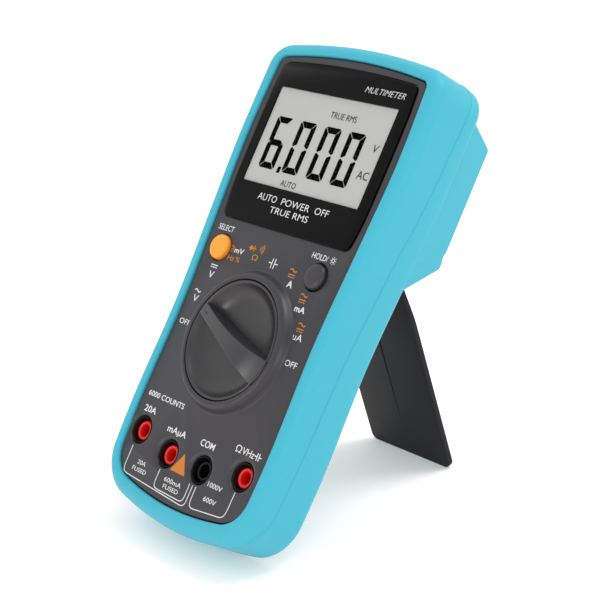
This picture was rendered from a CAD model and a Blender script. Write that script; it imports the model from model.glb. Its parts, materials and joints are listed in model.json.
# %% [markdown]
# # A handheld digital multimeter in its rubber holster
# The meter leans back on its kickstand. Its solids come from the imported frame, and this
# lesson puts the smooth, detailed skins, the prints and the finishes on them. Everything
# starts by loading that frame and keeping its box, so the new skins can be measured
# against it at the end.

# %% Load the frame
import json
import math

import bmesh
import bpy
from mathutils import Matrix, Vector
from mathutils.kdtree import KDTree

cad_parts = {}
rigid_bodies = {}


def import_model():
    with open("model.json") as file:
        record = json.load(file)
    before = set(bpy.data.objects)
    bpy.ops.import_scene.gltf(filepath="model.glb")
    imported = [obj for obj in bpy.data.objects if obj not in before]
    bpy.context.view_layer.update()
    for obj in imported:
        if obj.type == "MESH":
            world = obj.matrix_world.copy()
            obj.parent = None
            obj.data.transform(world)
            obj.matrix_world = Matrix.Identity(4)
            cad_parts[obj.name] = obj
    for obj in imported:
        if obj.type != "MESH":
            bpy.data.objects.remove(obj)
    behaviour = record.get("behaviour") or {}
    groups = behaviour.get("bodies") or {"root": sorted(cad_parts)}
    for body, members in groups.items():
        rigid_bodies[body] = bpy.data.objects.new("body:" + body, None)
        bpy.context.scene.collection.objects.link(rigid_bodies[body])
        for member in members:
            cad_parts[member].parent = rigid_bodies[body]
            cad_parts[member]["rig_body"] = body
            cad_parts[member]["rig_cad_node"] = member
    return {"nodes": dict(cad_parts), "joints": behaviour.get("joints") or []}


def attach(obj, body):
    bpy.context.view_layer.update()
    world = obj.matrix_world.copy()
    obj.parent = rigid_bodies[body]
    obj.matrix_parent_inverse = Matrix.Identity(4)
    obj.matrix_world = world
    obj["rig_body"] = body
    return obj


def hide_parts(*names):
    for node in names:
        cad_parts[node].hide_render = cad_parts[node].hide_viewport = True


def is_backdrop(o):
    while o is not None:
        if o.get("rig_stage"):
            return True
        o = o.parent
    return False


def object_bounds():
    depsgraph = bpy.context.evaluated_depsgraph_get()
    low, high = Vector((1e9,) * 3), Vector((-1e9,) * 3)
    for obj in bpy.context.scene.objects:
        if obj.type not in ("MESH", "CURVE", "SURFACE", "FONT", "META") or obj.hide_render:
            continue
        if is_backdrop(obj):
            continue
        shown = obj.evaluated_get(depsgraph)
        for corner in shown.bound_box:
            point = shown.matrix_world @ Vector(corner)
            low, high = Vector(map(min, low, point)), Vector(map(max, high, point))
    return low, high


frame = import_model()
CAD_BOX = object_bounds()
print("CAD box", [[round(value, 4) for value in corner] for corner in CAD_BOX])

# %% [markdown]
# ## The meter's own face as a drawing board
# The face leans, so nothing on it is level. A drafter would rather draw it flat: x to the
# right, y up the face, z out of it, one unit to the millimetre, with the middle of the
# dial at zero. The dial's joint gives that point and the direction out of the face, so one
# matrix carries a finished piece from the board to its place.

# %% The matrix from the drawing board to the meter
MM = 0.001
dial_turn = next(joint for joint in frame["joints"] if joint["name"] == "dial_turn")
outwards = Vector(dial_turn["axis"]).normalized()
rightwards = Vector((1, 0, 0))
FACE = Matrix((rightwards, outwards.cross(rightwards), outwards)).transposed().to_4x4()
FACE.translation = Vector(dial_turn["pos_m"])
LEAN = math.acos(outwards.cross(rightwards).z)
print("the face leans back", round(math.degrees(LEAN), 1), "degrees")

# %% [markdown]
# ## Camera, floor and light
# A long lens stands to the right of the meter and a little above it. The floor is a
# seamless sheet of pale paper. The light is a white tent, which the world gives, with one
# broad soft lamp behind and two weak ones, to the right and low in front, whose glints
# draw the dial's collar and grip. Soft shadows gather only where the holster and the
# stand's foot touch the paper.

# %% Camera
bpy.ops.object.select_all(action="DESELECT")
bpy.ops.object.camera_add(location=(0.4383, -0.3513, 0.2695),
                          rotation=[math.radians(a) for a in (70.969, 2.784, 49.836)])
camera = bpy.context.active_object
camera.name = "studio_camera"
camera.data.sensor_width = 36.0
camera.data.lens = 103.06
bpy.context.scene.camera = camera
bpy.context.scene.view_settings.view_transform = "Standard"

# %% Floor and lamps
bpy.ops.mesh.primitive_plane_add(size=8.0)
floor = bpy.context.active_object
floor.name = "paper_floor"
floor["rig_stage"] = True


def lamp(name, place, aim, width, power):
    """Square soft box at a place, turned towards a point."""
    bpy.ops.object.light_add(type="AREA", location=place)
    soft_box = bpy.context.active_object
    soft_box.name = name
    soft_box.rotation_euler = (Vector(aim) - Vector(place)).to_track_quat("-Z", "Y").to_euler()
    soft_box.data.size = width
    soft_box.data.energy = power


lamp("key_soft_box", (0.35, 0.6, 1.2), (0, 0, 0.07), 0.6, 7.0)
lamp("right_soft_box", (1.1, -0.35, 0.35), (0, 0, 0.08), 0.3, 1.6)
lamp("front_soft_box", (-0.16, -1.1, 0.28), (0, 0, 0.08), 0.25, 1.7)
studio = bpy.data.worlds.new("white_tent")
bpy.context.scene.world = studio
studio.use_nodes = True
studio.node_tree.nodes["Background"].inputs["Color"].default_value = (1, 1, 1, 1)
studio.node_tree.nodes["Background"].inputs["Strength"].default_value = 1.0

# %% [markdown]
# ## Three ways to make a piece
# Most pieces of a meter are moulded, and a mould is drawn in one of three ways. A *skin*
# starts as a flat filled circle whose points are pushed to an outline, and is extruded
# from one outline to the next. A *turned* piece spins a profile round an axis. A *cutter*
# is either of these, taken away from a piece or joined to it by a Boolean modifier.
# These helpers do by code what extrude, spin and Ctrl+A do by hand.

# %% Helpers for making pieces
def pick(piece):
    """Select one object and nothing else."""
    bpy.ops.object.select_all(action="DESELECT")
    piece.select_set(True)
    bpy.context.view_layer.objects.active = piece


def place(piece, matrix):
    """Put a piece where a matrix says, and apply that (Ctrl+A)."""
    pick(piece)
    piece.matrix_world = matrix
    bpy.ops.object.transform_apply(location=True, rotation=True, scale=True)


def settle(name):
    """Name the mesh that the last operator made, and apply its place, turn and size."""
    piece = bpy.context.active_object
    piece.name = piece.data.name = name
    bpy.ops.object.transform_apply(location=True, rotation=True, scale=True)
    return piece


def start_ring(name, spots, fill):
    """A circle primitive whose points are pushed to the given spots."""
    bpy.ops.mesh.primitive_circle_add(vertices=len(spots), radius=1.0, fill_type=fill)
    piece = settle(name)
    for vertex, spot in zip(piece.data.vertices, spots):
        vertex.co = spot
    return piece


def skin(name, rings):
    """Extrude a filled ring through every following ring, and close it at the far end."""
    piece = start_ring(name, rings[0], "NGON")
    bpy.ops.object.mode_set(mode="EDIT")
    bpy.ops.mesh.select_all(action="SELECT")
    for ring, following in zip(rings, rings[1:]):
        bpy.ops.mesh.extrude_region_move()
        nearest = KDTree(len(ring))
        for i, spot in enumerate(ring):
            nearest.insert(spot, i)
        nearest.balance()
        sheet = bmesh.from_edit_mesh(piece.data)
        for vertex in sheet.verts:
            if vertex.select:
                vertex.co = following[nearest.find(vertex.co)[1]]
        bmesh.update_edit_mesh(piece.data)
    bpy.ops.mesh.select_all(action="SELECT")
    bpy.ops.mesh.normals_make_consistent(inside=False)
    bpy.ops.object.mode_set(mode="OBJECT")
    return piece


def layered(name, edge, levels):
    """Skin through one outline at several sizes: edge(grow) at height z for each (grow, z)."""
    return skin(name, [[(x, y, z) for x, y in edge(grow)] for grow, z in levels])


def turned(name, profile, steps=96, at=(0, 0)):
    """Spin a closed profile of (radius, z) about z, and weld it."""
    piece = start_ring(name, [(radius, 0, z) for radius, z in profile], "NOTHING")
    bpy.ops.object.mode_set(mode="EDIT")
    bpy.ops.mesh.select_all(action="SELECT")
    bpy.ops.mesh.spin(steps=steps, angle=math.tau, center=(0, 0, 0), axis=(0, 0, 1))
    bpy.ops.mesh.select_all(action="SELECT")
    bpy.ops.mesh.remove_doubles(threshold=0.002)
    bpy.ops.mesh.delete_loose(use_verts=True, use_edges=True, use_faces=False)
    bpy.ops.mesh.select_all(action="SELECT")
    bpy.ops.mesh.normals_make_consistent(inside=False)
    bpy.ops.transform.translate(value=(*at, 0))
    bpy.ops.object.mode_set(mode="OBJECT")
    return piece


def apply_step(piece, kind, **settings):
    """Add a modifier, set it and apply it."""
    pick(piece)
    step = piece.modifiers.new(kind.lower(), kind)
    for name, value in settings.items():
        setattr(step, name, value)
    bpy.ops.object.modifier_apply(modifier=step.name)
    return piece


def carve(piece, *tools, how="DIFFERENCE"):
    """Cut tools out of a piece, or join them to it, and throw the tools away."""
    for tool in tools:
        apply_step(piece, "BOOLEAN", operation=how, solver="EXACT", object=tool)
        bpy.data.objects.remove(tool)
    return piece


def soften(piece, width, segments, angle=40):
    """Bevel the edges that are sharper than an angle."""
    return apply_step(piece, "BEVEL", width=width, segments=segments, limit_method="ANGLE",
                      angle_limit=math.radians(angle))


def block(name, low, high):
    """Box between two corners, from the cube primitive."""
    middle = [(a + b) / 2 for a, b in zip(low, high)]
    bpy.ops.mesh.primitive_cube_add(size=1.0, location=middle,
                                    scale=[b - a for a, b in zip(low, high)])
    return settle(name)


def rod(name, radius, low, high, sides=64):
    """Round bar between two points."""
    start, end = Vector(low), Vector(high)
    bpy.ops.mesh.primitive_cylinder_add(vertices=sides, radius=radius, depth=(end - start).length,
                                        location=(start + end) / 2,
                                        rotation=(end - start).to_track_quat("Z", "Y").to_euler())
    return settle(name)


def merge(name, pieces):
    """Join several meshes into the first one."""
    pick(pieces[0])
    for piece in pieces:
        piece.select_set(True)
    bpy.ops.object.join()
    pieces[0].name = pieces[0].data.name = name
    return pieces[0]


def fit(piece, body, slot, *replaced, angle=30):
    """Carry a piece from the drawing board to the meter, apply its place, and let it ride."""
    place(piece, FACE @ Matrix.Scale(MM, 4))
    bpy.ops.object.shade_smooth_by_angle(angle=math.radians(angle))
    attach(piece, body)
    if replaced:
        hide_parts(*replaced)
    print(piece.name, len(piece.data.polygons), "faces")
    return piece


# %% [markdown]
# ## Colours and nodes
# Colours are noted as they look on a screen, so one function turns them to the linear
# values a shader wants. A second one adds a node with its settings and its links. Short
# ones for noise, ranges and colour mixes build on it. Plain numbers go straight on the
# Principled shader's sockets.

# %% Helpers for finishes
def linear(code):
    """sRGB hex such as "56c6dc" as linear red, green, blue and alpha."""
    shares = [int(code[i:i + 2], 16) / 255 for i in (0, 2, 4)]
    return tuple(s / 12.92 if s <= 0.04045 else ((s + 0.055) / 1.055) ** 2.4 for s in shares) + (1.0,)


MIX_A, MIX_B, MIX_OUT = 6, 7, 2                   # colour sockets of a Mix node, which share their names


def add_node(finish, kind, inputs=None, links=None, **settings):
    """Add a node, set its properties and sockets, and link its inputs to (node, output)."""
    made = finish.node_tree.nodes.new("ShaderNode" + kind)
    for name, value in settings.items():
        setattr(made, name, value)
    for socket, value in (inputs or {}).items():
        made.inputs[socket].default_value = value
    for socket, (source, output) in (links or {}).items():
        finish.node_tree.links.new(source.outputs[output], made.inputs[socket])
    return made


def noise(finish, size_mm, detail, source, output="Object", rough=0.5):
    """Noise with grains of about size_mm, laid out by another node's coordinates."""
    inputs = {"Scale": 1 / (size_mm * MM), "Detail": detail, "Roughness": rough}
    return add_node(finish, "TexNoise", inputs, {"Vector": (source, output)})


def spread(finish, low, high, source, output="Fac"):
    """Turn a node's values from 0 to 1 into values from low to high."""
    return add_node(finish, "MapRange", {"To Min": low, "To Max": high}, {"Value": (source, output)})


def drive(finish, socket, source, output):
    """Link a node's output to a socket of the Principled shader."""
    shader = finish.node_tree.nodes["Principled BSDF"]
    finish.node_tree.links.new(source.outputs[output], shader.inputs[socket])


def colour_between(finish, one, other, source, output="Fac"):
    """Base colour that runs between two screen colours as another node says."""
    mix = add_node(finish, "Mix", {MIX_A: linear(one), MIX_B: linear(other)},
                   {"Factor": (source, output)}, data_type="RGBA")
    drive(finish, "Base Color", mix, MIX_OUT)


def new_finish(name, **sockets):
    """Material with plain values on its Principled shader."""
    finish = bpy.data.materials.new(name)
    finish.use_nodes = True
    shader = finish.node_tree.nodes["Principled BSDF"]
    for socket, value in sockets.items():
        shader.inputs[socket.replace("_", " ")].default_value = value
    return finish


def wear(piece, finish):
    """Give every material slot of a piece, new or from the frame, this finish."""
    if not piece.material_slots:
        piece.data.materials.append(finish)
    for place in piece.material_slots:
        place.link = "DATA"
        place.material = finish
    return piece


# %% [markdown]
# ## The hourglass outline
# The face is an hourglass: its sides swell at the display and at the jacks, and draw in at
# the dial, where a hand holds it. A few half-widths up the face fix it, and a smooth cubic
# runs through them. Short arcs join the sides to the bowed top and bottom. The same
# outline, grown or shrunk, gives the panel, the flange under it, the gap and the holster.

# %% Outline functions
WAIST = ((-60.0, 34.6), (-31.0, 35.9), (8.0, 35.2), (44.0, 37.2), (74.0, 38.6), (106.0, 37.2))
TOP, BOTTOM = 104.7, -59.8
TOP_BOW, BOTTOM_BOW = 237.0, 128.0
TOP_CORNER, BOTTOM_CORNER = 3.0, 11.0


def half_width(y):
    """Half the panel's width at height y."""
    y = min(max(y, WAIST[0][0]), WAIST[-1][0])
    i = max(k for k in range(len(WAIST) - 1) if WAIST[k][0] <= y)

    def slope(k):
        low, high = max(k - 1, 0), min(k + 1, len(WAIST) - 1)
        return (WAIST[high][1] - WAIST[low][1]) / (WAIST[high][0] - WAIST[low][0])

    (y0, h0), (y1, h1) = WAIST[i], WAIST[i + 1]
    span = y1 - y0
    t = (y - y0) / span
    return (h0 * (2 * t ** 3 - 3 * t ** 2 + 1) + slope(i) * span * (t ** 3 - 2 * t ** 2 + t)
            + h1 * (3 * t ** 2 - 2 * t ** 3) + slope(i + 1) * span * (t ** 3 - t ** 2))


def corner(grow, edge, bow, radius, up, steps=14):
    """Arc from a side to the bowed top (up = 1) or bottom (up = -1)."""
    cx, cy, start = 30.0, edge - up * radius, 0.0
    for _ in range(30):
        cy = edge - up * (cx ** 2 / (2 * bow) + radius * math.hypot(1, cx / bow))
        touch = cy + radius * math.sin(start)
        start = -math.atan(half_width(touch + 0.5) - half_width(touch - 0.5))
        cx = half_width(touch) + grow - radius * math.cos(start)
    end = up * (math.pi / 2 - math.atan(cx / bow))
    angles = [start + (end - start) * k / steps for k in range(steps + 1)]
    return [(cx + radius * math.cos(a), cy + radius * math.sin(a)) for a in angles]


def outline(grow, top_trim=0.0, bottom_extra=0.0):
    """Closed outline, grown by some millimetres, counter-clockwise from the foot."""
    top = TOP + grow - top_trim
    bottom = BOTTOM - grow - bottom_extra
    low = corner(grow, bottom, BOTTOM_BOW, max(BOTTOM_CORNER + grow, 1.0), -1)
    high = corner(grow, top, TOP_BOW, max(TOP_CORNER + (1.25 if grow > 2.6 else 0.75) * grow, 1.0), 1)
    y0, y1 = low[0][1], high[0][1]
    side = [(half_width(y0 + (y1 - y0) * k / 30) + grow, y0 + (y1 - y0) * k / 30) for k in range(1, 30)]
    shares = (0.12, 0.3, 0.5, 0.7, 0.88)
    base = [(low[-1][0] * s, bottom + (low[-1][0] * s) ** 2 / (2 * BOTTOM_BOW)) for s in shares]
    roof = [(high[-1][0] * s, top - (high[-1][0] * s) ** 2 / (2 * TOP_BOW)) for s in shares[::-1]]
    right = base + low[::-1] + side + high + roof
    return right + [(-x, y) for x, y in right[::-1]]


print("outline of", len(outline(0)), "points, half-width at the dial", round(half_width(0), 1), "mm")

# %% [markdown]
# ## The rubber holster
# The real one is a single soft moulding of thermoplastic rubber, stretched over the case.
# It could be carved from a block, but its shape is all in its cross-section: a fat round
# back edge, a wall in two drafts that meet at the mould's parting line, a rolled front
# lip, and an undercut that grips the case's flange. So one skin runs through those
# sections. Then the battery hump is joined on behind and its openings are cut.

# %% Holster sections
BACK, FRONT = -24.0, 0.2
SEAM_RUN = ((-68.0, -6.2), (-57.0, -7.0), (-49.0, -9.0), (-34.0, -9.6), (46.0, -13.5), (56.0, -14.5),
            (100.0, -17.0), (112.0, -17.4))


def seam_depth(y):
    """Depth of the parting line at height y."""
    for (y0, z0), (y1, z1) in zip(SEAM_RUN, SEAM_RUN[1:]):
        if y <= y1:
            t = min(max((y - y0) / (y1 - y0), 0.0), 1.0)
            return z0 + (z1 - z0) * t
    return SEAM_RUN[-1][1]


def boot_ring(grow, z=None, beside_seam=0.0, share=None):
    """One section of the holster: level at z, along the seam, or a share of the way to it."""
    ring = []
    outward = min(max((grow - 1.0) / 4.5, 0.0), 1.0)     # the outer faces only, not the lip
    for x, y in outline(grow, 0.15 * outward, 1.1 * outward):
        if y > 80 and abs(x) > 20:                       # fuller upper corners
            swell = outward * min((y - 80) / 22, 1.0) * min((abs(x) - 20) / 20, 1.0)
            x += math.copysign(1.1 * swell, x)
        depth = seam_depth(y) + beside_seam if z is None else z
        if share is not None:
            depth = z + (seam_depth(y) - z) * share
        ring.append((x, y, depth))
    return ring


def quarter(start, end, steps, grow_first):
    """Points of a quarter round from one (grow, z) to another, without the first."""
    for k in range(1, steps + 1):
        early, late = math.sin(math.pi / 2 * k / steps), 1 - math.cos(math.pi / 2 * k / steps)
        g, z = (early, late) if grow_first else (late, early)
        yield start[0] + (end[0] - start[0]) * g, start[1] + (end[1] - start[1]) * z


rings = [boot_ring(2.4, BACK)]
rings += [boot_ring(g, z) for g, z in quarter((2.4, BACK), (6.0, -20.4), 9, True)]
rings += [boot_ring(6.05, -20.4, share=0.5)]
rings += [boot_ring(6.1, beside_seam=-0.3), boot_ring(6.3, beside_seam=-0.08),
          boot_ring(6.3, beside_seam=0.08), boot_ring(6.05, beside_seam=0.3)]
rings += [boot_ring(5.95, -4.7, share=0.4), boot_ring(5.85, -4.7)]
rings += [boot_ring(g, z) for g, z in quarter((5.85, -4.7), (1.9, FRONT), 12, False)]
rings += [boot_ring(g, z) for g, z in ((1.3, 0.13), (0.85, -0.08), (0.55, -0.4), (0.45, -0.9),
                                       (0.45, -3.7), (2.3, -3.7), (2.3, -18.8))]
holster = skin("rubber_holster", rings)
print("holster skin", len(rings), "sections")

# %% Battery hump and the openings behind
PIN_BORE = 1.55                                   # radius of the hole for the stand's pin
hump_side = ((34.0, -21.0), (100.4, -21.0), (93.2, -36.0), (48.8, -36.0))
hump = skin("hump", [[(x, y, z) for y, z in hump_side] for x in (-42.0, 42.0)])
soften(hump, 1.6, 4)
carve(holster, hump, how="UNION")
carve(holster,
      block("hump_cavity", (-36.3, 55.7, -31.3), (36.3, 91.3, -15)),
      block("door_opening", (-35.0, 57.3, -40), (35.0, 89.7, -30)),
      block("knuckle_pocket", (-21.8, 36, -40), (21.8, 55.9, -28.7)),
      rod("pin_bore", PIN_BORE, (-27.3, 50.5, -32.8), (27.3, 50.5, -32.8), 24),
      block("strap_notch", (-50, 51.6, -40), (50, 54.4, -34.5)))
soften(holster, 0.45, 2, 48)
fit(holster, "meter", "blue_rubber", "holster", angle=40)

# %% [markdown]
# ## The front panel
# The front half of the case is a thin ABS moulding: a flat face with a rounded rim, a
# flange round it that the holster grips, a raised collar for the dial, a sunk seat for the
# window, and rounded mouths for the keys and jacks. It is one skin from the inner ceiling
# round to the face, and the openings are turned or skinned cutters, because a cutter can
# carry the rounding of its own edge.

# %% Panel shell
FACE_Z = -0.9
panel = layered("front_panel", outline, (
    (-1.6, -2.9), (-1.6, -9.0), (2.0, -9.0), (2.0, -4.0), (0.0, -4.0), (0.0, -1.5), (-0.06, -1.2),
    (-0.2, -1.0), (-0.5, FACE_Z)))


def window_edge(grow):
    """Display window: bowed top, straight foot, and sides that draw in a little below."""
    top, foot, radius = 101.6 + grow, 40.8 - grow, 3.0
    x_foot, x_low, x_high, x_top = (33.6 + grow, 34.9 + grow, 35.1 + grow, 34.4 + grow)
    points = [(0.0, foot), (12.0, foot), (24.0, foot)]
    points += [(x_foot - radius + radius * math.sin(a), foot + radius - radius * math.cos(a))
               for a in (math.radians(90 * k / 10) for k in range(11))]
    points += [(x_foot + (x_low - x_foot) * t * (2 - t),
                foot + radius + (58 - foot - radius) * t) for t in (0.33, 0.66, 1)]
    points += [(x_low + (x_high - x_low) * 0.6, 69.0), (x_high, 80.0), (x_high - 0.15, 90.0)]
    points += [(x_top - radius + radius * math.cos(a), top - 2.3 - radius + radius * math.sin(a) + 1.0)
               for a in (math.radians(82 * k / 10) for k in range(11))]
    x_end, y_end = points[-1]
    points += [(x_end * s, y_end + (top - y_end) * (1 - s * s)) for s in (0.8, 0.6, 0.4, 0.2)]
    points.append((0.0, top))
    return points + [(-x, y) for x, y in points[-2:0:-1]]


def dial_pocket():
    """Raised ring and floor that hold the dial, as one turned profile."""
    return turned("dial_collar", ((12.0, -5.0), (21.8, -5.0), (21.8, 2.35), (21.9, 2.58), (22.15, 2.68),
                                  (22.9, 2.68), (23.5, 2.55), (24.0, 2.2), (24.4, 1.65), (24.8, 0.95),
                                  (25.1, 0.3), (25.4, -0.25), (25.65, -0.6), (25.9, -0.82), (26.3, -0.98),
                                  (26.3, -2.0), (23.8, -2.4), (23.8, -6.8), (12.0, -6.8)), 128)


KEYS = {"select": (-27.8, 29.4), "hold": (23.6, 29.5)}
JACKS = {"20a": (-29.7, -40.4), "ma": (-11.5, -44.1), "com": (7.4, -44.2), "volt": (27.3, -40.4)}
carve(panel, rod("dial_hole", 24.5, (0, 0, -8), (0, 0, 3), 96))
carve(panel, dial_pocket(), how="UNION")
carve(panel, layered("window_seat", window_edge, ((0.3, -1.7), (0.3, -1.15), (0.42, -0.98),
                                                  (0.65, -0.88), (0.65, 1.0))),
      block("display_opening", (-31.6, 53.9, -6), (31.6, 92.1, 1)))
for mouth, centre in KEYS.items():
    carve(panel, turned(mouth + "_mouth", ((0, -6), (4.9, -6), (4.9, -1.5), (5.02, -1.15), (5.25, -0.94),
                                           (5.6, -0.87), (5.6, 1), (0, 1)), 64, centre))
for mouth, centre in JACKS.items():
    carve(panel, turned(mouth + "_mouth", ((0, -6), (5.0, -6), (5.0, -2.4), (5.06, -1.95), (5.25, -1.52),
                                           (5.62, -1.2), (6.15, -0.98), (6.9, -0.87), (6.9, 1), (0, 1)),
                        64, centre))
fit(panel, "meter", "grey_plastic", "front_case", angle=35)

# %% [markdown]
# ## The window and the display
# The window is a clear acrylic lens with a black border printed on it. Behind it lies the
# liquid crystal cell: two sheets of glass, the rear one larger, with a polariser on top.
# The black border and the clear lens are separate pieces here, since one is opaque. The
# digits are thin dark shapes in the cell: seven bevelled bars to a digit, each cut short of
# its neighbours, as the real electrodes are.

# %% Black window border and clear lens
LENS = (-30.9, 55.0, 30.0, 91.1)                  # visible opening: left, foot, right, top
WINDOW_Z = -0.4


def rounded_box(grow, radius=0.6, steps=6):
    """Points round the visible opening, its corners rounded."""
    left, foot, right, top = LENS[0] - grow, LENS[1] - grow, LENS[2] + grow, LENS[3] + grow
    r = max(radius + grow, 0.15)
    ring = []
    for cx, cy, start in ((right - r, foot + r, -90), (right - r, top - r, 0), (left + r, top - r, 90),
                          (left + r, foot + r, 180)):
        for k in range(steps + 1):
            a = math.radians(start + 90 * k / steps)
            ring.append((cx + r * math.cos(a), cy + r * math.sin(a)))
    return ring


window = layered("window_border", window_edge, ((0.0, -1.4), (0.0, -0.6), (-0.05, -0.47),
                                                (-0.16, WINDOW_Z)))
carve(window, layered("lens_opening", rounded_box, ((0.0, -2), (0.0, -0.46), (0.1, 1.0))))
fit(window, "meter", "window_acrylic", "display_window")
lens = layered("window_lens", rounded_box, ((-0.03, -0.8), (-0.03, -0.52), (-0.1, -0.46)))
fit(lens, "meter", "window_acrylic")

# %% Liquid crystal cell
cell = skin("lcd_cell", [[(x, y, z) for x, y in ((-33, 53.3), (33, 53.3), (33, 92.6), (-33, 92.6))]
                         for z in (-5.4, -3.3)])
glass = layered("front_glass", rounded_box, ((0.7, -3.4), (0.7, -1.5), (-0.04, -1.5), (-0.04, -0.95)))
carve(cell, glass, how="UNION")
fit(cell, "meter", "lcd_glass", "lcd_panel")

# %% Digits
INK_Z = -0.93
DIGIT_HIGH, DIGIT_WIDE, BAR, CUT = 19.5, 8.4, 2.3, 0.12


def bar_shapes(left, foot):
    """The seven bars of a digit as outlines, named a to g clockwise from the top."""
    w, h, t, c = DIGIT_WIDE, DIGIT_HIGH, BAR, CUT
    m = h / 2
    r = 0.85                                      # rounding of the outer corners
    shapes = {
        "a": ((r + c, h), (w - r - c, h), (w - c * 2 - 0.35, h - 0.3), (w - t - c, h - t), (t + c, h - t),
              (c * 2 + 0.35, h - 0.3)),
        "b": ((w, h - r), (w, m + 0.75), (w - 0.55, m + c), (w - t, m + t * 0.45), (w - t, h - t - c),
              (w - 0.35, h - 0.45)),
        "c": ((w, m - 0.75), (w, r), (w - 0.35, 0.45), (w - t, t + c), (w - t, m - t * 0.45),
              (w - 0.55, m - c)),
        "d": ((r + c, 0), (c * 2 + 0.35, 0.3), (t + c, t), (w - t - c, t), (w - c * 2 - 0.35, 0.3),
              (w - r - c, 0)),
        "e": ((0, r), (0, m - 0.75), (0.55, m - c), (t, m - t * 0.45), (t, t + c), (0.35, 0.45)),
        "f": ((0, m + 0.75), (0, h - r), (0.35, h - 0.45), (t, h - t - c), (t, m + t * 0.45),
              (0.55, m + c)),
        "g": ((0.75, m), (t - 0.1, m + t / 2), (w - t + 0.1, m + t / 2), (w - 0.75, m),
              (w - t + 0.1, m - t / 2), (t - 0.1, m - t / 2)),
    }
    return {name: [(left + x, foot + y) for x, y in shape] for name, shape in shapes.items()}


def ink(name, shape, z=INK_Z):
    """A flat printed or etched shape with a little thickness."""
    return skin(name, [[(x, y, z + rise) for x, y in shape] for rise in (-0.03, 0.02)])


FOOT = 60.85
marks = []
for left, lit in ((-26.4, "acdefg"), (-13.7, "abcdef"), (-0.8, "abcdef"), (11.6, "abcdef")):
    bars = bar_shapes(left, FOOT)
    marks += [ink("bar", bars[name]) for name in lit]
marks.append(ink("point", ((-16.1, 60.3), (-14.45, 60.3), (-14.25, 62.6), (-15.9, 62.6))))
print("display bars", len(marks))

# %% [markdown]
# ## Lettering
# The small words on the cell and the symbols round the dial are printed, a few hundredths
# of a millimetre thick. A text object gives the letters; it becomes a mesh before it is
# moved, is stretched to its measured width and height, and gets a little thickness so it is
# a closed shape. Symbols that the font lacks are drawn as short strokes.

# %% Letters and strokes
PRINT_Z = FACE_Z


def letters(words, left, foot, wide, high, bold=0.0, lean=0.0, z=PRINT_Z):
    """Text whose box is wide by high, its lower left corner at (left, foot)."""
    bpy.ops.object.select_all(action="DESELECT")
    bpy.ops.object.text_add()
    sign = bpy.context.active_object
    sign.data.body = words
    sign.data.shear = lean
    sign.data.offset = bold
    sign.data.resolution_u = 3
    sign.data.extrude = 0.01
    bpy.ops.object.convert(target="MESH")
    sign = bpy.context.active_object
    low = [min(v.co[i] for v in sign.data.vertices) for i in range(3)]
    high_corner = [max(v.co[i] for v in sign.data.vertices) for i in range(3)]
    stretch = (wide / (high_corner[0] - low[0]), high / (high_corner[1] - low[1]), 2.5)
    for vertex in sign.data.vertices:
        vertex.co = (left + (vertex.co.x - low[0]) * stretch[0],
                     foot + (vertex.co.y - low[1]) * stretch[1], z + vertex.co.z * stretch[2])
    return sign


def stroke(points, width, z=PRINT_Z, closed=False):
    """A printed line of one width through a list of points."""
    spots = [Vector(point) for point in points]
    pairs = []
    for i, spot in enumerate(spots):
        before = spots[i - 1] if i or closed else spot
        after = spots[(i + 1) % len(spots)] if i + 1 < len(spots) or closed else spot
        way_in, way_out = (spot - before).normalized(), (after - spot).normalized()
        way = (way_in + way_out).normalized() if (way_in + way_out).length > 0.01 else way_out
        side = Vector((-way.y, way.x))
        squareness = abs(side.dot(Vector((-way_out.y, way_out.x)))) if way_out.length else 1.0
        reach = width / 2 / max(squareness, 0.5)
        pairs.append((spot + side * reach, spot - side * reach))
    if closed:
        pairs.append(pairs[0])
    rings = [[(*a, z - 0.025), (*b, z - 0.025), (*b, z + 0.025), (*a, z + 0.025)] for a, b in pairs]
    return skin("stroke", rings)


# %% Small words in the cell
marks += [letters(*row, z=INK_Z) for row in (
    ("TRUE RMS", -1.0, 83.5, 13.4, 2.3), ("AUTO", -11.4, 56.1, 8.0, 2.2),
    ("V", 25.2, 75.0, 2.6, 2.7, 0.0, 0.1), ("AC", 22.9, 65.1, 5.4, 2.9))]
segments = merge("lcd_segments", marks)
fit(segments, "meter", "lcd_glass")

# %% Words on the window border
border_print = merge("window_print", [letters(*row, z=WINDOW_Z) for row in (
    ("AUTO", -19.2, 49.6, 10.0, 2.45, -0.008), ("POWER", -6.4, 49.6, 14.6, 2.45, -0.008),
    ("OFF", 11.1, 49.6, 7.0, 2.45, -0.008), ("TRUE RMS", -10.6, 45.95, 20.2, 2.3, -0.008),
    ("MULTIMETER", 11.1, 94.6, 19.5, 2.1, -0.016, 0.25))])
fit(border_print, "meter", "white_plastic")

# %% [markdown]
# ## Prints round the dial
# White ink marks the main ranges and orange ink the second ones that the orange key picks.
# The wave and bar signs for alternating and direct current repeat, so each is drawn once as
# a function of its place.

# %% Signs and words on the panel
WAVE_HIGH, DASH_DROP = 0.42, 0.85                 # swing of the wave; bar to dashes


def wave(x, y, wide, width=0.42):
    """The alternating-current sign, centred at a spot."""
    points = [(x + wide * (t - 0.5), y + WAVE_HIGH * math.sin(math.tau * t))
              for t in (k / 12 for k in range(13))]
    return [stroke(points, width)]


def direct(x, y, wide, width=0.36):
    """The direct-current sign: a bar over three short dashes."""
    dash = wide / 4.2
    return ([stroke([(x - wide / 2, y), (x + wide / 2, y)], width)]
            + [stroke([(x + k * wide / 3 - dash / 2, y - DASH_DROP),
                       (x + k * wide / 3 + dash / 2, y - DASH_DROP)], width)
               for k in (-1, 0, 1)])


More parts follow.
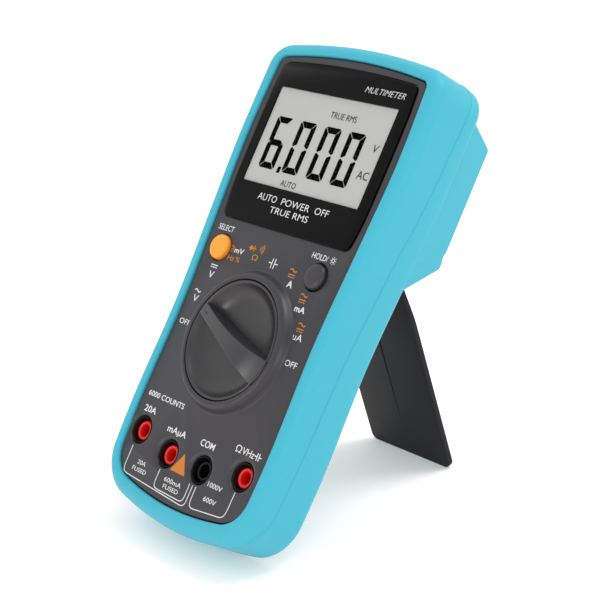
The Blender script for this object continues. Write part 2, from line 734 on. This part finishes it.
white = [letters(*row) for row in (
    ("SELECT", -33.05, 35.53, 8.4, 2.1), ("HOLD/", 17.95, 35.38, 7.9, 2.1),
    ("OFF", -32.95, -0.67, 5.8, 2.0), ("OFF", 25.75, -1.37, 6.0, 2.1),
    ("V", -31.05, 8.18, 2.8, 2.5), ("V", -28.15, 17.93, 2.7, 2.5),
    ("mV", -20.05, 29.08, 4.9, 1.95, 0.01), ("A", 11.75, 23.38, 2.9, 2.4, 0.02),
    ("mA", 19.95, 16.58, 5.2, 2.2, 0.02), ("µA", 24.45, 6.98, 4.6, 2.9),
    ("6000 COUNTS", -32.95, -28.22, 20.6, 2.0, 0.01), ("20A", -31.85, -33.92, 6.7, 2.4, 0.01),
    ("mAµA", -15.95, -37.62, 10.4, 2.9, 0.01), ("COM", 2.65, -36.77, 7.5, 2.4, 0.01),
    ("Ω", 19.95, -33.62, 2.9, 2.5), ("VHz", 23.35, -33.62, 6.2, 2.4),
    ("20A", -23.90, -51.67, 4.6, 1.55), ("FUSED", -25.45, -54.27, 7.9, 1.5),
    ("600mA", -7.45, -52.92, 9.4, 1.6), ("FUSED", -6.65, -55.27, 8.4, 1.5),
    ("1000V", 14.05, -48.02, 7.4, 1.7), ("600V", 14.65, -53.02, 6.5, 1.7))]
white += wave(-30.05, 12.2, 3.3) + direct(-27.05, 22.7, 3.7)
for x, y, tall, gap, arm in ((1.4, 29.5, 3.6, 1.35, 1.7), (31.4, -32.4, 2.6, 1.0, 1.2)):
    white += [stroke([(x + s * gap / 2, y - tall / 2), (x + s * gap / 2, y + tall / 2)], 0.36)
              for s in (-1, 1)]
    white += [stroke([(x + s * gap / 2, y), (x + s * (gap / 2 + arm), y)], 0.36) for s in (-1, 1)]
sun = (28.4, 36.4)
white.append(stroke([(sun[0] + 0.62 * math.cos(a), sun[1] + 0.62 * math.sin(a))
                     for a in (math.tau * k / 12 for k in range(12))], 0.24, closed=True))
white += [stroke([(sun[0] + r * math.cos(a), sun[1] + r * math.sin(a)) for r in (0.95, 1.45)], 0.22)
          for a in (math.tau * k / 8 for k in range(8))]

orange = [letters(*row) for row in (
    ("Hz", -22.05, 25.98, 3.4, 1.8), ("%", -17.85, 26.08, 2.3, 1.8), ("Ω", -10.15, 28.48, 3.0, 2.1))]
for x, y in ((12.3, 29.4), (21.9, 22.5), (26.4, 13.1)):
    orange += wave(x, y, 3.4) + direct(x, y - 1.6, 3.4)
orange += wave(-21.2, 30.9, 1.7, 0.3) + direct(-21.2, 30.1, 1.7, 0.26)
orange.append(ink("caution_sign", ((-6.6, -48.6), (1.5, -48.6), (-2.45, -41.6)), PRINT_Z))
orange += [ink("diode", ((-12.8, 33.5), (-12.8, 31.4), (-10.8, 32.45)), PRINT_Z),
           stroke([(-10.65, 33.5), (-10.65, 31.4)], 0.4), stroke([(-13.8, 32.45), (-9.6, 32.45)], 0.3)]
for radius in (0.8, 1.7, 2.6):
    orange.append(stroke([(-8.3 + radius * math.cos(a), 33.0 + radius * math.sin(a))
                          for a in (math.radians(-40 + 16 * k) for k in range(6))], 0.34))


def bracket(points, radius, width=0.3):
    """A bent line whose inner corners are rounded."""
    path = [points[0]]
    for before, here, after in zip(points, points[1:], points[2:]):
        here, way_in, way_out = Vector(here), Vector(before) - Vector(here), Vector(after) - Vector(here)
        start, end = here + way_in.normalized() * radius, here + way_out.normalized() * radius
        path += [tuple(start * (1 - t) ** 2 + here * 2 * t * (1 - t) + end * t ** 2)
                 for t in (0, 0.25, 0.5, 0.75, 1)]
    return stroke(path + [points[-1]], width)


white += [bracket(((-29.8, -46.5), (-29.8, -56.2), (7.3, -58.0), (7.3, -50.0)), 2.6),
          bracket(((-11.4, -49.9), (-11.5, -56.5), (5.6, -56.8), (5.6, -49.9)), 2.3),
          bracket(((9.1, -50.0), (9.1, -57.3), (27.4, -55.3), (27.8, -45.9)), 2.6)]
fit(merge("white_print", white), "meter", "white_plastic")
fit(merge("orange_print", orange), "meter", "orange_plastic")

# %% [markdown]
# ## The rotary dial
# The dial is one glossy-worn ABS moulding: a shallow dish with a rim, crossed by a finger
# grip that is wide at the heel and narrow at the pointer. The dish is a turned profile. The
# grip is a skin through rounded sections along the pointer's direction, joined on by a
# Boolean. The pointer rests at the position for alternating volts.

# %% Dial dish and grip
POINTER = math.radians(160)


def grip_half(e):
    return 2.1 + 2.7 * (max(14 - e, 0) / 34.5) ** 2.2


def grip_top(e):
    rise = 1 - ((e + 8) / 29) ** 1.7 if e > -8 else 1 - ((-8 - e) / 13) ** 2
    return 2.66 + 4.0 * max(rise, 0.0)


def grip_section(e):
    """Rounded section of the grip at a distance e from the centre, towards the pointer."""
    h, top = grip_half(e), grip_top(e)
    side = [(h + 1.5, -3.2), (h + 1.15, -2.3), (h + 0.7, -1.5), (h + 0.5, -0.4), (h + 0.33, 0.8),
            (h + 0.16, top - 0.5), (h + 0.1, top - 0.22), (h, top - 0.08), (h - 0.14, top - 0.015),
            (h - 0.3, top)]
    section = side + [(-s, z) for s, z in side[::-1]]
    c, s = math.cos(POINTER), math.sin(POINTER)
    return [(e * c - across * s, e * s + across * c, z) for across, z in section]


dish = ((0, -2.2), (7.0, -2.2), (12.0, -2.12), (14.5, -1.8), (16.5, -1.1), (18.0, -0.2), (19.2, 0.85),
        (20.0, 1.75), (20.35, 2.25), (20.6, 2.52), (20.85, 2.64), (21.1, 2.62), (21.32, 2.5),
        (21.45, 2.25), (21.5, 1.9), (21.5, -4.7), (0, -4.7))
knob = turned("dial_knob", dish, 128)
grip = skin("grip", [grip_section(-20.9 + 41.8 * k / 40) for k in range(41)])
carve(knob, grip, how="UNION")
tip = skin("tip_mark", [[(x * math.cos(POINTER) - y * math.sin(POINTER),
                          x * math.sin(POINTER) + y * math.cos(POINTER), z)
                         for x, y in ((15.6, -0.28), (19.6, -0.42), (19.6, 0.42), (15.6, 0.28))]
                        for z in (2.3, 6.0)])
groove_floor = grip_top(17.6) - 0.25
for vertex in tip.data.vertices:
    vertex.co.z = groove_floor if vertex.co.z < 3 else 6.0
carve(knob, tip)
fit(knob, "dial", "knob_plastic", "rotary_knob", angle=38)

# %% [markdown]
# ## Keys
# Two round silicone-backed caps stand in rounded mouths. A cap is turned: a gently domed
# top, a soft shoulder, a straight side, and a flange under the panel that stops it falling
# out. The orange one selects, the grey one holds and lights the display.

# %% Key caps
cap = ((0, 1.02), (1.5, 1.0), (2.7, 0.94), (3.4, 0.83), (3.9, 0.62), (4.25, 0.32), (4.48, -0.06),
       (4.58, -0.5), (4.6, -1.0), (4.6, -3.2), (5.6, -3.2), (5.6, -4.4), (2.0, -4.4), (2.0, -7.1),
       (0, -7.1))
for name, body, finish in (("select", "select_key", "orange_plastic"),
                           ("hold", "hold_key", "grey_plastic")):
    fit(turned(name + "_cap", cap, 72, KEYS[name]), body, finish, name + "_button", angle=40)

# %% [markdown]
# ## Input jacks
# A safety jack takes a shrouded 4 mm plug: a round well swallows the shroud and a thinner
# collar inside it, red or black, guides the pin into a brass tube deep below. Collar and
# well are one turned part with two colours, so the faces outside the collar get the dark
# slot. The brass tube is slotted so it springs on the pin.

# %% Jack collars and sockets
COLLAR_EDGE = 3.46                                # beyond this radius the part is the dark well
well = ((4.7, -1.75), (4.7, -12.3), (2.75, -12.3), (2.75, -7.8), (2.3, -7.4), (2.3, -3.5), (2.4, -3.2),
        (2.6, -3.02), (2.95, -2.95), (3.25, -3.02), (3.42, -3.2), (3.5, -3.5), (3.5, -11.0), (4.3, -11.0),
        (4.35, -2.0), (4.45, -1.75))
tube = ((2.4, -8.1), (2.45, -8.4), (2.4, -9.0), (2.4, -16.2), (2.0, -16.2), (2.0, -8.4), (2.1, -8.1),
        (2.25, -8.0))
collars, sockets = {}, {}
for name, centre in JACKS.items():
    collars[name] = fit(turned("collar_" + name, well, 64, centre), "meter",
                        "black_plastic" if name == "com" else "red_plastic", "jack_collar_" + name,
                        angle=40)
    socket = turned("socket_" + name, tube, 48, centre)
    carve(socket, block("slot", (centre[0] - 3, centre[1] - 0.25, -12),
                        (centre[0] + 3, centre[1] + 0.25, -6)))
    sockets[name] = fit(socket, "meter", "brass", "jack_socket_" + name, angle=40)

# %% [markdown]
# ## Kickstand
# A flat ABS leg, wider towards its foot, swings on a steel pin at the foot of the hump. Its
# edges are rounded, and a shallow groove that fades out runs down the middle of its inner
# face. It is drawn lying along the meter and then turned open about its hinge by the angle
# that puts its foot on the table.

# %% Kickstand
HINGE = (0.0, 50.5, -32.8)
OPEN = math.radians(49.5)
LEG, HALF = 94.0, 21.0                            # length, and half the width at the foot


def leg_edge(shrink):
    """Outline of the leg: its neck at the hinge, shoulders, and a rounded foot."""
    foot, radius = LEG - shrink, max(2.5 - shrink * 0.5, 0.8)
    right = [(18.0 - shrink, 4.3 - shrink), (18.0 - shrink, -8.0), (18.75 - shrink, -14.0),
             (19.6 - shrink, -20.0), (20.5 - shrink, -26.0), (20.9 - shrink, -29.5),
             (HALF - shrink, -33.0), (HALF - shrink, -60.0)]
    right += [(HALF - shrink - radius + radius * math.cos(a), radius - foot - radius * math.sin(a))
              for a in (math.radians(15 * k) for k in range(7))]
    return right[::-1] + [(-x, y) for x, y in right]


leg = layered("stand_leg", leg_edge, ((0.75, -1.4), (0.3, -1.3), (0.08, -1.05), (0.0, -0.7), (0.0, 0.7),
                                      (0.08, 1.05), (0.3, 1.3), (0.75, 1.4)))
carve(leg, rod("barrel", 2.6, (-18, 0, 0), (18, 0, 0), 40), how="UNION")

groove = skin("middle_groove", [[(0.75 * depth, y, 1.4), (0.75 * depth, y, 2.4), (-0.5 * depth, y, 2.4),
                                 (-0.5 * depth, y, 1.4), (0.0, y, 1.4 - 0.7 * depth)]
                                for y, depth in ((-9.0, 1.0), (-45.0, 1.0), (-60.0, 0.75), (-70.0, 0.4),
                                                 (-78.0, 0.05))])
carve(leg, groove, rod("bore", PIN_BORE, (-30, 0, 0), (30, 0, 0), 32))
place(leg, Matrix.Translation(HINGE) @ Matrix.Rotation(OPEN, 4, "X"))
fit(leg, "stand", "grey_plastic", "kickstand", angle=35)

# %% [markdown]
# ## Battery door and screws
# Behind, the door is a plain ABS plate in the hump's opening, held by one screw. Its rim is
# rounded, a row of finger ribs crosses one end, and its outer corners are eased. Its screw
# and the four case screws are pan heads with a cross recess, turned whole, shank and all.
# The board's own screws are never seen, so they keep the frame's plain shape.

# %% Battery door
SCREW_AT = (32.4, 73.5)                           # the door's one screw
door_levels = ((34.3, 58.0, 89.0, -31.3), (34.7, 57.6, 89.4, -31.6), (34.7, 57.6, 89.4, -33.2),
               (34.3, 58.0, 89.0, -33.6))
door = skin("battery_cover", [[(-half, low, z), (half, low, z), (half, high, z), (-half, high, z)]
                              for half, low, high, z in door_levels])
carve(door, rod("door_hole", 1.2, (*SCREW_AT, -40), (*SCREW_AT, -30), 32),
      *[block("rib_gap", (-31.5, 66.0 + 2.5 * k, -34), (-20.0, 67.3 + 2.5 * k, -33.15))
        for k in range(6)])
fit(soften(door, 0.2, 2, 50), "door", "grey_plastic", "battery_door", angle=20)

# %% Cross-recess screws
def cross_screw(name, x, y, shank, head, floor, top, tip):
    """Pan-head screw seen from behind: z falls towards its head."""
    body = turned(name, ((0, tip), (shank * 0.6, tip), (shank, tip - 0.8), (shank, floor), (head, floor),
                         (head, floor - (floor - top) * 0.45), (head * 0.86, top + 0.18),
                         (head * 0.55, top), (0, top)), 40)
    arm, depth = head * 0.55, (floor - top) * 0.6
    for wide, tall in ((arm, 0.32), (0.32, arm)):
        carve(body, block("recess", (-wide, -tall, top - 1), (wide, tall, top + depth)))
    place(body, Matrix.Translation((x, y, 0)))
    return body


fit(cross_screw("cover_screw", *SCREW_AT, 0.9, 2.0, -33.9, -35.0, -25.5), "door", "steel", "door_screw")
case_screws = [fit(cross_screw(f"shell_screw_{i}", x, y, 1.15, 2.7, -14.3, -16.2, -4.8), "meter", "steel",
                   f"case_screw_{i}")
               for i, (x, y) in enumerate(((-32.0, 97.6), (32.0, 97.6), (-20.0, -53.5),
                                           (20.0, -53.5)), 1)]

# %% [markdown]
# # Finishes
# ## Moulded plastics and rubber
# Most of a meter is ABS from a steel mould that was spark-eroded to a fine, even grain. The
# grain gives a soft, broad gloss and hides marks. One function starts such a finish: a
# body colour that drifts slightly over centimetres, the mould's grain as bump, and a
# roughness that varies a little where hands polish it. Each finish still gives its own
# colours, grain size and depth.

# %% Moulded finish
POLISH = 0.06                                     # how far handling moves the roughness


def moulded(name, body, shade, grain_mm, depth_mm, drift_mm, roughness, gloss, ior=1.53, **sockets):
    """Grained moulding: body and shade colours, grain and drift in millimetres."""
    finish = new_finish(name, Roughness=roughness, Specular_IOR_Level=gloss, IOR=ior, **sockets)
    spot = add_node(finish, "TexCoord")
    drift = noise(finish, drift_mm, 4.0, spot, rough=0.55)
    colour_between(finish, body, shade, drift)
    grain = noise(finish, grain_mm, 2.0, spot, rough=0.6)
    bump = add_node(finish, "Bump", {"Strength": 0.7, "Distance": depth_mm * MM},
                    {"Height": (grain, "Fac")})
    drive(finish, "Normal", bump, "Normal")
    drive(finish, "Roughness", spread(finish, roughness - POLISH, roughness + POLISH, drift), "Result")
    return finish


# Thermoplastic rubber, moulded matt: a soft broad gloss, slightly powdery at grazing angles.
# Its real grain of 0.1 mm is drawn at 0.35 mm so that it can show.
blue_rubber = moulded("matt_blue_thermoplastic_rubber", "37a4b9", "3cabc0", 0.35, 0.03, 40.0,
                      0.5, 0.32, ior=1.5, Sheen_Weight=0.03, Sheen_Roughness=0.5)
# ABS, moulded against an eroded steel face: charcoal with a satin gloss. Grain 0.12 mm,
# drawn at 0.3 mm.
case_abs = moulded("eroded_charcoal_abs", "28262a", "2c2a2e", 0.3, 0.02, 30.0, 0.38, 0.45)
# The dial is the same ABS from a smoother mould, polished further by fingers.
dial_abs = moulded("satin_charcoal_abs", "1d1c20", "212024", 0.25, 0.012, 18.0, 0.33, 0.6)
# The stand's ABS stays in the holster's shade and is a little darker.
stand_abs = moulded("dark_charcoal_abs", "17161a", "1b1a1e", 0.3, 0.02, 24.0, 0.5, 0.15)
# Orange ABS with a fine satin face.
orange_abs = moulded("satin_orange_abs", "ee9628", "f09c30", 0.3, 0.012, 6.0, 0.42, 0.35)
# Jack collars are glass-filled nylon, dyed red through, with a duller face.
red_nylon = moulded("red_nylon", "e4181a", "d01214", 0.25, 0.015, 5.0, 0.4, 0.4)
black_nylon = moulded("black_nylon", "070708", "0a0a0b", 0.25, 0.015, 5.0, 0.42, 0.15)
red_black_nylon = moulded("dark_red_nylon_well", "140405", "1a0506", 0.25, 0.015, 5.0, 0.5, 0.2)
white_abs = moulded("plain_white_abs", "c8c7c2", "cfcec9", 0.3, 0.015, 12.0, 0.5, 0.4)

# %% [markdown]
# ## Window, display and inks
# The window's border is ink under acrylic, so it is black and glossy, with faint long
# scratches that only the gloss shows. The cell's polariser is a satin film: pale grey with
# a trace of green, speckled very finely. Its lit bars are near black. Screen-print inks are
# flat and a little chalky, with pinholes too fine to draw.

# %% Window and display finishes
def printed(name, colour, thin, speckle_mm, **sockets):
    """Ink or film whose colour breaks up a little at a scale in millimetres."""
    finish = new_finish(name, **sockets)
    speckle = noise(finish, speckle_mm, 3.0, add_node(finish, "TexCoord"))
    patches = add_node(finish, "MapRange", {"From Min": 0.35, "From Max": 0.65},
                       {"Value": (speckle, "Fac")})
    colour_between(finish, colour, thin, patches, "Result")
    return finish


black_acrylic = printed("black_printed_acrylic", "0d0d0d", "0f0f0f", 9.0, Roughness=0.12, IOR=1.49,
                        Specular_IOR_Level=0.07)
scratch_run = add_node(black_acrylic, "Mapping", {"Rotation": (0.3, 0.0, 0.5), "Scale": (1.0, 0.06, 1.0)},
                       {"Vector": (add_node(black_acrylic, "TexCoord"), "Object")})
scratches = noise(black_acrylic, 0.8, 4.0, scratch_run, "Vector")
scratch_gloss = add_node(black_acrylic, "MapRange", {"From Min": 0.45, "From Max": 0.75, "To Min": 0.09,
                                                     "To Max": 0.24}, {"Value": (scratches, "Fac")})
drive(black_acrylic, "Roughness", scratch_gloss, "Result")
clear_acrylic = printed("clear_acrylic", "8c9090", "909494", 12.0, Roughness=0.06, IOR=1.49, Alpha=0.006,
                        Specular_IOR_Level=0.2)
polariser = printed("lcd_polariser_film", "ababab", "afb0ae", 0.45, Roughness=0.34, IOR=1.5,
                    Specular_IOR_Level=0.12, Coat_Weight=0.05, Coat_Roughness=0.1)
liquid_ink = printed("lcd_dark_bars", "020202", "040404", 1.0, Roughness=0.6, IOR=1.5,
                     Specular_IOR_Level=0.0)
white_ink = printed("white_screen_ink", "e2e2e4", "d2d2d4", 0.35, Roughness=0.6, IOR=1.5,
                    Specular_IOR_Level=0.25)
orange_ink = printed("orange_screen_ink", "c67a2c", "b86e24", 0.35, Roughness=0.6, IOR=1.5,
                     Specular_IOR_Level=0.25)
# The floor's paper glows a little, so it reads as white as the tent around it.
paper = printed("seamless_white_paper", "faf2ee", "f7efeb", 60.0, Roughness=0.85,
                Emission_Color=(1.0, 1.0, 1.0, 1.0), Emission_Strength=0.2)

# %% [markdown]
# ## Metals and the inner parts
# Screws and the stand's pin are zinc-plated steel, turned and rolled: fine lines run round
# them. Contacts and jack tubes are brass. Inside, the board is green glass epoxy with its
# weave just showing, the fuses are glazed ceramic, the cells have a printed sleeve. They
# show only when the battery door lifts or through gaps, but each still gets its own finish.

# %% Metal and inner finishes
def metal(name, bright, dull, streak_mm, roughness):
    """Metal with tarnish in streaks of some millimetres."""
    finish = new_finish(name, Metallic=1.0, Roughness=roughness)
    run = add_node(finish, "Mapping", {"Scale": (1.0, 0.2, 1.0)},
                   {"Vector": (add_node(finish, "TexCoord"), "Object")})
    streaks = noise(finish, streak_mm, 3.0, run, "Vector")
    colour_between(finish, bright, dull, streaks)
    drive(finish, "Roughness", spread(finish, roughness - 0.08, roughness + 0.12, streaks), "Result")
    return finish


zinc_steel = metal("zinc_plated_steel", "c9cacb", "a9abae", 0.6, 0.32)
brass = metal("turned_brass", "d9b878", "b8934f", 0.7, 0.3)
spring_steel = metal("spring_steel_wire", "bfc1c4", "94969a", 0.5, 0.28)
manganin = metal("manganin_wire", "c98f6a", "a56f4e", 0.8, 0.35)
fuse_ceramic = printed("glazed_fuse_ceramic", "dcd6c6", "cfc8b6", 2.5, Roughness=0.3, IOR=1.5,
                       Specular_IOR_Level=0.5)
cell_sleeve = printed("cell_sleeve", "23252a", "2b2d33", 3.0, Roughness=0.3, Metallic=0.3)
zebra_rubber = printed("zebra_rubber", "6a5560", "4a3a44", 0.25, Roughness=0.7)
acrylic_guide = printed("frosted_light_guide", "e8ecec", "dde2e2", 0.5, Roughness=0.35, IOR=1.49)
board_epoxy = new_finish("green_glass_epoxy", Roughness=0.35, IOR=1.55)
board_turn = add_node(board_epoxy, "Mapping", {"Rotation": (LEAN, 0.0, 0.0)},
                      {"Vector": (add_node(board_epoxy, "TexCoord"), "Object")})
weave = add_node(board_epoxy, "TexChecker", {"Scale": 1 / (0.5 * MM), "Color1": linear("14643a"),
                                             "Color2": linear("185c38")},
                 {"Vector": (board_turn, "Vector")})
drive(board_epoxy, "Base Color", weave, "Color")

# %% [markdown]
# ## Putting the finishes on
# New skins get their finish by name. The frame's own nodes that still show keep their
# shape and only change finish, so a short list goes from the start of a node's name to its
# material.

# %% Finishes on the new pieces
made = {piece.name: piece for piece in bpy.context.scene.objects
        if piece.type == "MESH" and "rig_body" in piece and "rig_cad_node" not in piece}
finishes = {
    "rubber_holster": blue_rubber, "front_panel": case_abs, "window_border": black_acrylic,
    "window_lens": clear_acrylic, "lcd_cell": polariser, "lcd_segments": liquid_ink,
    "window_print": white_ink, "white_print": white_ink, "orange_print": orange_ink,
    "dial_knob": dial_abs, "select_cap": orange_abs, "hold_cap": case_abs, "stand_leg": stand_abs,
    "battery_cover": case_abs, "cover_screw": zinc_steel}
for name, finish in finishes.items():
    wear(made[name], finish)
wear(floor, paper)
for screw in case_screws:
    wear(screw, zinc_steel)
for name, socket in sockets.items():
    wear(socket, brass)
    collar = wear(collars[name], black_nylon if name == "com" else red_nylon)
    collar.data.materials.append(black_nylon if name == "com" else red_black_nylon)
    centre = FACE @ Vector((*(MM * value for value in JACKS[name]), 0))
    for face in collar.data.polygons:
        reach = FACE.inverted() @ face.center - FACE.inverted() @ centre
        if math.hypot(reach.x, reach.y) > COLLAR_EDGE * MM:
            face.material_index = 1

# %% Finishes on the frame's nodes
starts = {"rear_case": case_abs, "lcd_frame": white_abs, "lcd_backlight": acrylic_guide,
          "zebra": zebra_rubber, "main_board": board_epoxy, "main_ic": black_nylon, "buzzer": black_nylon,
          "ptc": orange_abs, "current_shunt": manganin, "fuse_clip": brass, "fuse_20a": fuse_ceramic,
          "fuse_600ma": fuse_ceramic, "battery_1": cell_sleeve, "battery_2": cell_sleeve,
          "battery_": spring_steel, "board_screw": zinc_steel, "kickstand_pin": zinc_steel,
          "switch_rotor": white_abs, "rotor_contact": brass, "detent_": spring_steel,
          "select_switch": black_nylon, "hold_switch": black_nylon}
for name, node in frame["nodes"].items():
    if node.hide_render:
        continue
    start = next((begin for begin in starts if name.startswith(begin)), None)
    print(name, "->", starts[start].name if start else "NO FINISH")
    wear(node, starts[start])

# %% Sizes, then finish
boxes = {"cad": [list(corner) for corner in CAD_BOX], "visual": [list(corner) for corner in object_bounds()]}
growth = [boxes["visual"][1][i] - boxes["visual"][0][i] - boxes["cad"][1][i] + boxes["cad"][0][i]
          for i in range(3)]
print("grown by", [round(value / MM, 2) for value in growth], "mm")
